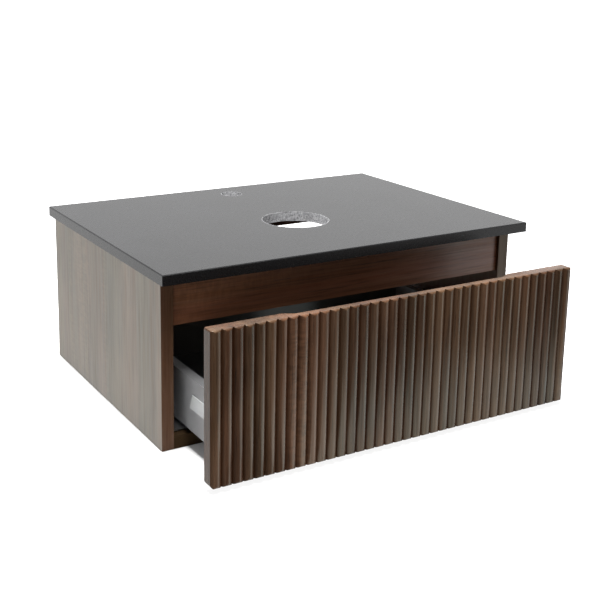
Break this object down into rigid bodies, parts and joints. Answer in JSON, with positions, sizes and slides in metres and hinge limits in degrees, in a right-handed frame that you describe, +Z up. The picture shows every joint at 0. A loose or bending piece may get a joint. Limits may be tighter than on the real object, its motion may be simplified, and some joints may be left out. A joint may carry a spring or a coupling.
{
  "type": "wall-hung vanity cabinet",
  "caption": "Wall-hung bathroom vanity cabinet with a black stone top, cut out for a vessel basin and tap, and one fluted walnut drawer on soft-close runners.",
  "frame": {"origin": "middle of the cabinet's width, on the wall plane, at the cabinet's underside", "axes": "+Z up, +Y into the wall, the drawer opens towards -Y, X across the cabinet"},
  "size_m": [0.62, 0.553, 0.257],
  "materials": {
    "walnut_side": "foil-wrapped board with vertical walnut grain, semi-gloss",
    "walnut_board": "foil-wrapped board with walnut grain along the board, semi-gloss",
    "walnut_fluted": "dark walnut over convex flutes, vertical grain, semi-gloss",
    "black_stone": "honed black granite",
    "beech": "raw beech",
    "zinc": "die-cast and plated zinc, satin",
    "steel": "bright zinc-plated steel",
    "white_plastic": "moulded, fine satin",
    "dark_plastic": "moulded, matt",
    "runner_steel": "galvanised sheet steel",
    "grey_enamel": "light grey baked enamel, satin",
    "anthracite_board": "anthracite laminate, matt",
    "clear_rubber": "translucent soft bumper"
  },
  "bodies": {
    "carcass": {"side_panel_left": "walnut_side", "side_panel_right": "walnut_side", "bottom_panel": "walnut_board", "front_rail": "walnut_board", "back_rail": "walnut_board", "stone_top": "black_stone", "dowels": "beech", "cam_locks": "zinc", "cam_bolts": "steel", "hanger_housings": "white_plastic", "hanger_hooks": "steel", "hanger_screws": "zinc", "runner_fixed_left": "runner_steel", "runner_fixed_right": "runner_steel", "runner_screws": "zinc", "soft_close_units": "dark_plastic"},
    "runner_mid": {"runner_mid_left": "runner_steel", "runner_mid_right": "runner_steel"},
    "drawer": {"drawer_front": "walnut_fluted", "drawer_side_left": "grey_enamel", "drawer_side_right": "grey_enamel", "drawer_bottom": "anthracite_board", "drawer_back": "anthracite_board", "drawer_runner_left": "runner_steel", "drawer_runner_right": "runner_steel", "front_brackets": "zinc", "front_screws": "steel", "back_clips": "dark_plastic", "bottom_screws": "zinc", "side_caps": "white_plastic", "bumpers": "clear_rubber"}
  },
  "joints": [
    {"name": "drawer_slide", "type": "slide", "parent": "carcass", "child": "drawer", "axis": [0, -1, 0], "range_m": [-0.118, 0.2]},
    {"name": "runner_mid_slide", "type": "slide", "parent": "carcass", "child": "runner_mid", "axis": [0, -1, 0], "range_m": [-0.06, 0.101]}
  ],
  "couplings": [
    {"joint": "runner_mid_slide", "follows": "drawer_slide", "ratio": 0.5}
  ]
}
